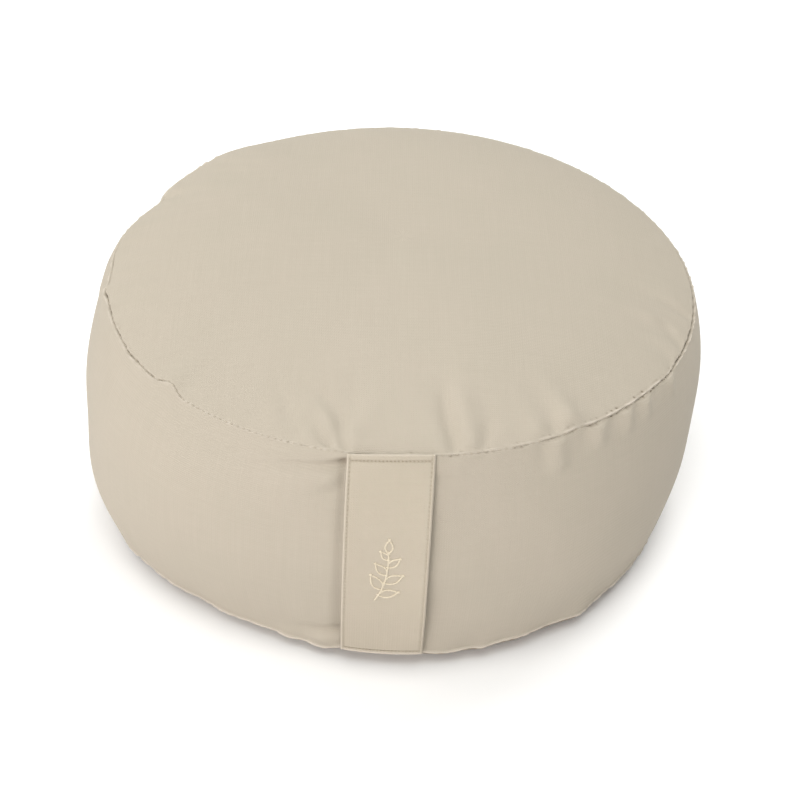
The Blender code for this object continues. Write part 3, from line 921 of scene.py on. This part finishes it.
def stitch_tree():
    """Geometry Nodes: one plump stitch at every pitch along the path, laid on the cloth."""
    tree = bpy.data.node_groups.new("stitches_along_path", "GeometryNodeTree")
    sockets = {
        "Path": "Geometry", "Pitch": "Float", "Length": "Float", "Thickness": "Float",
        "Wander": "Float", "Seed": "Int", "Thread": "Material",
    }
    for name, kind in sockets.items():
        tree.interface.new_socket(name, in_out="INPUT", socket_type="NodeSocket" + kind)
    tree.interface.new_socket("Stitches", in_out="OUTPUT", socket_type="NodeSocketGeometry")
    given = node(tree, "NodeGroupInput", {}).outputs
    curve = node(tree, "GeometryNodeMeshToCurve", {"Mesh": given["Path"]})
    places = node(tree, "GeometryNodeCurveToPoints", {
        "Curve": curve, "Length": given["Pitch"],
    }, mode="LENGTH").outputs
    cloth = node(tree, "GeometryNodeInputNamedAttribute", {
        "Name": "cloth_out",
    }, data_type="FLOAT_VECTOR")
    along = node(tree, "FunctionNodeAlignRotationToVector", {
        "Vector": places["Tangent"],
    }, axis="X")
    upright = node(tree, "FunctionNodeAlignRotationToVector", {
        "Rotation": along, "Vector": cloth,
    }, axis="Z", pivot_axis="X")
    least = node(tree, "ShaderNodeMath", {0: given["Wander"], 1: -1.0}, operation="MULTIPLY")
    turn = node(tree, "FunctionNodeRandomValue", {
        "Min": least, "Max": given["Wander"], "Seed": given["Seed"],
    }, data_type="FLOAT")
    tilt = node(tree, "ShaderNodeCombineXYZ", {"Z": turn.outputs[1]})
    twist = node(tree, "FunctionNodeEulerToRotation", {"Euler": tilt})
    turned = node(tree, "FunctionNodeRotateRotation", {
        "Rotation": upright, "Rotate By": twist,
    }, rotation_space="LOCAL")
    size = node(tree, "ShaderNodeCombineXYZ", {
        "X": given["Length"], "Y": given["Thickness"], "Z": given["Thickness"],
    })
    stitch = node(tree, "GeometryNodeMeshUVSphere", {"Segments": 6, "Rings": 5, "Radius": 0.5})
    lying = node(tree, "GeometryNodeTransform", {
        "Geometry": stitch, "Rotation": (0.0, math.radians(90.0), 0.0),
    })
    copies = node(tree, "GeometryNodeInstanceOnPoints", {
        "Points": places["Points"], "Instance": lying, "Rotation": turned, "Scale": size,
    })
    soft = node(tree, "GeometryNodeSetShadeSmooth", {"Geometry": copies})
    real = node(tree, "GeometryNodeRealizeInstances", {"Geometry": soft})
    dressed = node(tree, "GeometryNodeSetMaterial", {"Geometry": real, "Material": given["Thread"]})
    node(tree, "NodeGroupOutput", {"Stitches": dressed})
    return tree


stitches_along_path = stitch_tree()


def sewn(name, paths, closes, thread, seed, pitch, length, thickness, wander):
    """Stitches along paths, as one plain mesh. Each path is its points and the cloth's outward
    directions at them, and all of them close or none does."""
    places, edges, directions = [], [], []
    for points, out in paths:
        first = len(places)
        places += [tuple(point) for point in points]
        directions += [tuple(way) for way in out]
        edges += [(first + i, first + i + 1) for i in range(len(points) - 1)]
        if closes:
            edges.append((len(places) - 1, first))
    mesh = bpy.data.meshes.new(name)
    mesh.from_pydata(places, edges, [])
    lie = mesh.attributes.new("cloth_out", "FLOAT_VECTOR", "POINT")
    lie.data.foreach_set("vector", np.array(directions, np.float32).ravel())
    piece = placed(name, mesh)
    modifier = piece.modifiers.new("stitches", "NODES")
    modifier.node_group = stitches_along_path
    given = {
        "Pitch": pitch, "Length": length, "Thickness": thickness,
        "Wander": wander, "Seed": seed, "Thread": thread,
    }
    for item in stitches_along_path.interface.items_tree:
        if item.in_out == "INPUT" and item.name in given:
            modifier[item.identifier] = given[item.name]
    graph = bpy.context.evaluated_depsgraph_get()
    made = bpy.data.meshes.new_from_object(piece.evaluated_get(graph))
    piece.modifiers.clear()
    piece.data = made
    made.name = name
    return piece


seam_cotton = sewing_thread("undyed_seam_thread", "d9cfbd", "a99e8a", 0.75)
seam_pitch = math.tau * TOP_SEAM_RADIUS / STITCHES_ROUND
top_depth = (seam_set(seam_angle)[0] - SEAM_THREAD_SEAT)[:, None]
top_path = (top_seam(seam_angle) - top_groove_out * top_depth, top_groove_out)
foot_depth = FOOT_GROOVE_DEPTH - SEAM_THREAD_SEAT
foot_path = (foot_seam(seam_angle) - foot_groove_out * foot_depth, foot_groove_out)
top_seam_thread = sewn(
    "top_seam_thread", [top_path], True, seam_cotton, 21, seam_pitch, **SEAM_STITCH
)
foot_seam_thread = sewn(
    "foot_seam_thread", [foot_path], True, seam_cotton, 22, seam_pitch, **SEAM_STITCH
)
for piece in (top_seam_thread, foot_seam_thread):
    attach(piece, "root")


# --------------------------------------
# Carry handle: a strip of the same twill folded double, its raw edges turned in, drawn flat
# over the belly of the band and sewn down at both ends. Each edge is topstitched, which makes
# a firm fold with a painted highlight along it and a row of small pits inside it, with painted
# shade in them.

HANDLE_WIDTH = 0.042
HANDLE_CLOTH = 0.0020
HANDLE_TOP_AZIMUTH = -92.1
HANDLE_FOOT_AZIMUTH = -92.3
HANDLE_FOOT_SHARE = 0.985
HANDLE_SEAM_GAP = 0.0004
HANDLE_STAND_OFF = 0.0012
HANDLE_TOP_LIFT = 0.0016
HANDLE_HANG_SHARE = 0.86
HANDLE_HANG_POWER = 1.25
HANDLE_FOOT_REACH = 0.1590
HANDLE_ROWS = 241
HANDLE_PROBES = 7

# The strip's middle line, its way across and its face, row by row from top to foot
row_share = np.linspace(0.0, HANDLE_FOOT_SHARE, HANDLE_ROWS)
row_angle = np.radians(
    HANDLE_TOP_AZIMUTH + (HANDLE_FOOT_AZIMUTH - HANDLE_TOP_AZIMUTH) * row_share
)
row_out = outward(row_angle)
row_across = np.stack((-row_out[:, 1], row_out[:, 0], 0.0 * row_angle), -1)
reach_steps = np.linspace(-0.5, 0.5, HANDLE_PROBES) * HANDLE_WIDTH / TOP_SEAM_RADIUS
behind = band_face(row_angle[:, None] + reach_steps, row_share[:, None])
for row, share in enumerate(row_share):
    shift = settling(*BAND_SETTLING, share, COLUMNS)
    for i, angle in enumerate(row_angle[row] + reach_steps):
        behind[row, i] += shift[round(angle / math.tau * COLUMNS) % COLUMNS]
middle = behind[:, HANDLE_PROBES // 2]
stand_off = HANDLE_SEAM_GAP + HANDLE_STAND_OFF * np.sqrt(np.sin(math.pi * row_share))
reach = (behind * row_out[:, None]).sum(-1).max(1) + stand_off
hang = np.clip((row_share - HANDLE_HANG_SHARE) / (HANDLE_FOOT_SHARE - HANDLE_HANG_SHARE), 0.0, 1.0)
hang_reach = np.interp(HANDLE_HANG_SHARE, row_share, reach)
straight = hang_reach + (HANDLE_FOOT_REACH - hang_reach) * hang**HANDLE_HANG_POWER
reach = np.maximum(reach, np.where(hang > 0.0, straight, 0.0))
row_middle = row_out * reach[:, None]
row_middle += row_across * (middle * row_across).sum(-1)[:, None]
row_middle[:, 2] = middle[:, 2] + HANDLE_TOP_LIFT * (1.0 - row_share)
row_across[:, 2] = (behind[:, -1, 2] - behind[:, 0, 2]) / HANDLE_WIDTH
row_steps = np.linalg.norm(np.diff(row_middle, axis=0), axis=1)
row_down = np.concatenate(([0.0], np.cumsum(row_steps)))
row_face = np.cross(row_across, np.gradient(row_middle, row_down, axis=0))
row_face *= -np.sign(row_face[:, 1:2]) / np.linalg.norm(row_face, axis=1)[:, None]
STRIP_LENGTH = float(row_down[-1])

# How it stands off that line, in metres: its sewn ends follow the band's curve, its right edge
# lifts, a slack wave crosses it under its middle, and low down it leans away to the right
SEWN_TOP_REACH = 0.012
SEWN_FOOT_REACH = 0.014
SEWN_CURVE_SHARE = 0.9
RIGHT_LIFT = 0.0012
RIPPLE = 0.00025
RIPPLE_DOWN = 0.0075
RIPPLE_ACROSS = 0.030
SLACK_WAVE = 0.0010
SLACK_WAVE_SHARE = 0.46
SLACK_WAVE_HALF_WIDTH = 0.012
LEAN = 0.0022
LEAN_FROM = 0.35
LEAN_POWER = 1.5
LEAN_PIVOT = -0.12
RIGHT_LIFT_FROM = -0.1
FREE_POWER = 1.3


def along_rows(table, down):
    """A table of rows read at distances down the strip."""
    return np.stack([np.interp(down, row_down, table[:, i]) for i in range(3)], -1)


def strip_bow(across, down):
    """How far the strip stands off its straight lie."""
    share = np.clip(down / STRIP_LENGTH, 0.0, 1.0)
    over = across / HANDLE_WIDTH
    sewn_down = bell(down, SEWN_TOP_REACH) + bell(STRIP_LENGTH - down, SEWN_FOOT_REACH)
    curve = SEWN_CURVE_SHARE * across**2 / (2.0 * TOP_SEAM_RADIUS)
    right = np.clip((over - RIGHT_LIFT_FROM) / (0.5 - RIGHT_LIFT_FROM), 0.0, 1.0)
    free = np.sin(math.pi * share**FREE_POWER)
    wave = bell(down - SLACK_WAVE_SHARE * STRIP_LENGTH, SLACK_WAVE_HALF_WIDTH) * (0.6 - over)
    ripple = RIPPLE * np.cos(down / RIPPLE_DOWN + across / RIPPLE_ACROSS)
    bow = (RIGHT_LIFT * right**2 + ripple - SLACK_WAVE * wave) * free
    low = np.clip((share - LEAN_FROM) / (1.0 - LEAN_FROM), 0.0, 1.0) ** LEAN_POWER
    return bow + LEAN * (over - LEAN_PIVOT) * low - curve * sewn_down


def strip_place(across, down, height):
    """Points of the strip: across it from its middle line, down it, and out from its back."""
    out = along_rows(row_face, down)
    lie = along_rows(row_middle, down) + along_rows(row_across, down) * across[..., None]
    return lie + out * (height + strip_bow(across, down))[..., None]


# Topstitching: one row inside each folded edge, and one across each end
EDGE_STITCH_IN = 0.0016
TOP_STITCH_IN = 0.0031
FOOT_STITCH_IN = 0.0036
EDGE_STITCH = {
    "pitch": 2.1 * MM, "length": 1.5 * MM, "thickness": 0.36 * MM, "wander": 0.08, "seed": 23,
}
END_STITCH = {
    "pitch": 1.8 * MM, "length": 1.2 * MM, "thickness": 0.36 * MM, "wander": 0.12, "seed": 24,
}
EDGE_PIT, TOP_PIT, FOOT_PIT = 0.34 * MM, 0.55 * MM, 0.75 * MM
PIT_HALF_WIDTH = 0.42 * MM
# Painted shade in the stitch pits
PIT_PAINTED_SHADE = 1500.0

# The folded edge rises over the turned-in cloth and puckers along the stitches; it and the foot
# edge have a painted highlight
HEM_HEIGHT = 0.16 * MM
HEM_IN = 0.9 * MM
HEM_HALF_WIDTH = 0.5 * MM
PUCKER = 0.06 * MM
PUCKER_PITCH = 6.3 * MM
PUCKER_REACH = 3.0 * MM
FOLD_PAINTED_HIGHLIGHT = 0.7
FOLD_PAINTED_HIGHLIGHT_WIDTH = 0.4 * MM
FOOT_EDGE_PAINTED_HIGHLIGHT = 1.1
FOOT_EDGE_IN = 1.0 * MM
FOLD_STEPS = np.array((0.0, 0.00006, 0.00022, 0.00048, 0.0008, 0.0012))
ACROSS_STEP = 0.40 * MM
DOWN_STEP = 0.60 * MM


def pitted(distance, along, pitch, depth):
    """A topstitched row: a shallow channel with a pit at each stitch's end."""
    beat = 0.5 + 0.5 * np.cos(math.tau * along / pitch)
    return depth * (0.4 + 0.6 * beat) * bell(distance, PIT_HALF_WIDTH)


def fine_steps(length, step):
    """Places along a length that crowd towards both ends."""
    edge, first = FOLD_STEPS[:-1], FOLD_STEPS[-1]
    inner = np.linspace(first, length - first, round((length - 2.0 * first) / step) + 1)
    return np.concatenate((edge, inner, length - edge[::-1]))


across_steps = fine_steps(HANDLE_WIDTH, ACROSS_STEP) - 0.5 * HANDLE_WIDTH
down_steps = fine_steps(STRIP_LENGTH, DOWN_STEP)
down_grid, across_grid = np.meshgrid(down_steps, across_steps, indexing="ij")
up_grid = STRIP_LENGTH - down_grid
side_in = 0.5 * HANDLE_WIDTH - np.abs(across_grid)
edge_in = np.minimum(side_in, np.minimum(down_grid, up_grid))
between_rows = side_in > EDGE_STITCH_IN
half = 0.5 * HANDLE_CLOTH
fold = np.sqrt(1.0 - (1.0 - np.clip(edge_in / half, 0.0, 1.0)) ** 2)
end_pitch = END_STITCH["pitch"]
pits = np.maximum.reduce((
    pitted(side_in - EDGE_STITCH_IN, down_grid, EDGE_STITCH["pitch"], EDGE_PIT),
    pitted(down_grid - TOP_STITCH_IN, across_grid, end_pitch, TOP_PIT) * between_rows,
    pitted(up_grid - FOOT_STITCH_IN, across_grid, end_pitch, FOOT_PIT) * between_rows,
))
hem = HEM_HEIGHT * bell(edge_in - HEM_IN, HEM_HALF_WIDTH)
puckers = PUCKER * np.cos(math.tau * down_grid / PUCKER_PITCH) * np.exp(-side_in / PUCKER_REACH)
face_height = half + half * fold + fold * (hem + puckers - pits)
# Painted highlight along the folded edges and the foot edge, and painted shade in the stitch pits
strip_painted_light_and_shade = FOLD_PAINTED_HIGHLIGHT * np.exp(-edge_in / FOLD_PAINTED_HIGHLIGHT_WIDTH) - PIT_PAINTED_SHADE * pits
strip_painted_light_and_shade += FOOT_EDGE_PAINTED_HIGHLIGHT * bell(up_grid - FOOT_EDGE_IN, FOOT_EDGE_IN)
face_points = strip_place(across_grid, down_grid, face_height)
back_points = strip_place(across_grid, down_grid, half - half * fold)

handle_twill = cotton_twill(
    "doubled_cotton_twill", ("bfb4a4", "bbb29f", "d0c6b8", "8b7f6c"), 1.2 * MM, 0.10 * MM
)
build = bmesh.new()
cloth = build.loops.layers.uv.new("cloth")
rows, cols = across_grid.shape
front = [[build.verts.new(face_points[r, c]) for c in range(cols)] for r in range(rows)]
back = [list(row) for row in front]
for r in range(1, rows - 1):
    for c in range(1, cols - 1):
        back[r][c] = build.verts.new(back_points[r, c])
for layer in (front, back):
    for r in range(rows - 1):
        for c in range(cols - 1):
            corners = ((r, c), (r + 1, c), (r + 1, c + 1), (r, c + 1))
            made = build.faces.new([layer[i][j] for i, j in corners])
            for corner, (i, j) in zip(made.loops, corners):
                corner[cloth].uv = (across_steps[j], -down_steps[i])
painted_light_and_shade = np.concatenate((strip_painted_light_and_shade.ravel(), np.zeros((rows - 2) * (cols - 2))))
handle_strip = finished(mesh_of("handle_strip", build), painted_light_and_shade, handle_twill)


def on_strip(across, down, seat):
    """A path for stitches on the strip's face: its points, and the face's directions there."""
    down = np.broadcast_to(down, np.broadcast(across, down).shape)
    across = np.broadcast_to(across, down.shape)
    return strip_place(across, down, HANDLE_CLOTH + seat), along_rows(row_face, down)


SIDE_RUN_POINTS = 160
END_RUN_POINTS = 60
TOPSTITCH_SEAT = -0.12 * MM
last_row = STRIP_LENGTH - FOOT_STITCH_IN
last_column = 0.5 * HANDLE_WIDTH - EDGE_STITCH_IN
side_run = np.linspace(TOP_STITCH_IN, last_row, SIDE_RUN_POINTS)
end_run = np.linspace(-last_column, last_column, END_RUN_POINTS)
side_rows = [on_strip(across, side_run, TOPSTITCH_SEAT) for across in (-last_column, last_column)]
end_rows = [on_strip(end_run, down, TOPSTITCH_SEAT) for down in (TOP_STITCH_IN, last_row)]
edge_topstitch = sewn("edge_topstitch", side_rows, False, seam_cotton, **EDGE_STITCH)
end_topstitch = sewn("end_topstitch", end_rows, False, seam_cotton, **END_STITCH)


# --------------------------------------
# Embroidery on the handle: a plain leafy sprig, 37 mm high, worked in corded backstitch in
# cream cotton through both layers of the strip.

# The sprig's place on the strip, and its stem's three points from there, in mm, up and across
SPRIG_ACROSS = -0.3 * MM
SPRIG_DOWN = 61.7 * MM
SPRIG_STEM = np.array(((-4.0, -18.5), (2.5, -7.0), (1.5, 11.0))) * MM
SPRIG_LEAVES = (
    # share of the stem, side, length in mm, angle from the stem in degrees
    (0.12, 1, 10.0, 52), (0.26, -1, 10.5, 50), (0.42, 1, 10.0, 48), (0.58, -1, 9.0, 46),
    (0.74, 1, 7.8, 42), (0.88, -1, 6.2, 38), (1.00, 1, 7.6, 4),
)
LEAF_HALF_WIDTH = 0.24
LEAF_FULLEST = 0.85
SPRIG_SEAT = 0.10 * MM
SPRIG_STITCH = {
    "pitch": 1.5 * MM, "length": 2.3 * MM, "thickness": 0.95 * MM, "wander": 0.08, "seed": 25,
}


def on_stem(share):
    """Places on the sprig's stem, which is one smooth curve."""
    low, middle, high = SPRIG_STEM
    return low * (1 - share) ** 2 + middle * 2 * share * (1 - share) + high * share**2


run = np.linspace(0.0, 1.0, 17)[:, None]
sprig_lines = [on_stem(run)]
for share, side, length, spread in SPRIG_LEAVES:
    ahead = np.diff(SPRIG_STEM, axis=0)
    ahead = ahead[0] * (1 - share) + ahead[1] * share
    heading = math.atan2(ahead[1], ahead[0]) - side * math.radians(spread)
    along = np.array((math.cos(heading), math.sin(heading))) * length * MM
    aside = np.array((-along[1], along[0])) * LEAF_HALF_WIDTH
    bulge = np.sin(math.pi * run**LEAF_FULLEST)
    sprig_lines += [on_stem(share) + along * run + aside * bulge * edge for edge in (1.0, -1.0)]
sprig_rows = [
    on_strip(SPRIG_ACROSS + line[:, 0], SPRIG_DOWN - line[:, 1], SPRIG_SEAT) for line in sprig_lines
]
cream_cotton = sewing_thread("cream_embroidery_cotton", "efe6d3", "cfc2a8", 0.6)
handle_embroidery = sewn("handle_embroidery", sprig_rows, False, cream_cotton, **SPRIG_STITCH)

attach(handle_strip, "root")
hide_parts("carry_handle")
for piece in (edge_topstitch, end_topstitch, handle_embroidery):
    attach(piece, "root")


# --------------------------------------
# Floor, light and camera: a white paper sweep under large soft boxes, strongest overhead, at
# the front left and at the back right, seen from the front and 36 degrees above.

FLOOR_REACH = 9.0
FLOOR_BELOW = 0.2 * MM
SOFT_BOX_WIDTH = math.radians(40.0)
SOFT_BOXES = (
    # name, azimuth, elevation, strength, colour
    ("front_left_soft_box", -120.0, 20.0, 1.42, "fffafb"),
    ("left_soft_box", -180.0, 20.0, 0.74, "ffffff"),
    ("low_front_soft_box", -70.0, 3.0, 0.20, "fff2f2"),
    ("overhead_soft_box", -90.0, 72.0, 1.64, "fdfffd"),
    ("back_left_soft_box", 150.0, 45.0, 0.49, "ffffff"),
    ("back_right_soft_box", 60.0, 45.0, 1.60, "ffffff"),
)
STUDIO_FILL = 0.2
CAMERA_ELEVATION = math.radians(35.69)
CAMERA_DISTANCE = 0.9728
CAMERA_TARGET = (0.0032, 0.0, 0.0536)
CAMERA_LENS = 76.5

floor_mesh = bpy.data.meshes.new("studio_floor")
corner_signs = ((-1, -1), (1, -1), (1, 1), (-1, 1))
floor_corners = [(x * FLOOR_REACH, y * FLOOR_REACH, -FLOOR_BELOW) for x, y in corner_signs]
floor_mesh.from_pydata(floor_corners, [], [(0, 1, 2, 3)])
sweep, sweep_tree, sweep_shader = plain_material("white_paper_sweep")
wired(sweep_tree, sweep_shader, {
    "Base Color": linear("fafafa"), "Roughness": 1.0, "Specular IOR Level": 0.0,
})
floor_mesh.materials.append(sweep)
studio_floor = placed("studio_floor", floor_mesh)

studio = bpy.data.worlds.new("white_studio")
studio.use_nodes = True
wired(studio.node_tree, studio.node_tree.nodes["Background"], {
    "Color": linear("ffffff"), "Strength": STUDIO_FILL,
})
bpy.context.scene.world = studio
bpy.context.scene.view_settings.view_transform = "Standard"

# Each soft box is so far away that it doesn't fade across the set, so it is a wide sun
for name, azimuth, elevation, strength, colour in SOFT_BOXES:
    lamp = bpy.data.lights.new(name, "SUN")
    lamp.angle = SOFT_BOX_WIDTH
    lamp.energy = strength
    lamp.color = linear(colour)[:3]
    turn = (0.0, math.radians(90.0 - elevation), math.radians(azimuth))
    placed(name, lamp).rotation_euler = turn

camera = placed("camera", bpy.data.cameras.new("camera"))
camera.data.sensor_width = 36.0
camera.data.lens = CAMERA_LENS
camera.location = (
    CAMERA_TARGET[0],
    CAMERA_TARGET[1] - CAMERA_DISTANCE * math.cos(CAMERA_ELEVATION),
    CAMERA_TARGET[2] + CAMERA_DISTANCE * math.sin(CAMERA_ELEVATION),
)
camera.rotation_euler = (math.pi / 2 - CAMERA_ELEVATION, 0.0, 0.0)
bpy.context.scene.camera = camera
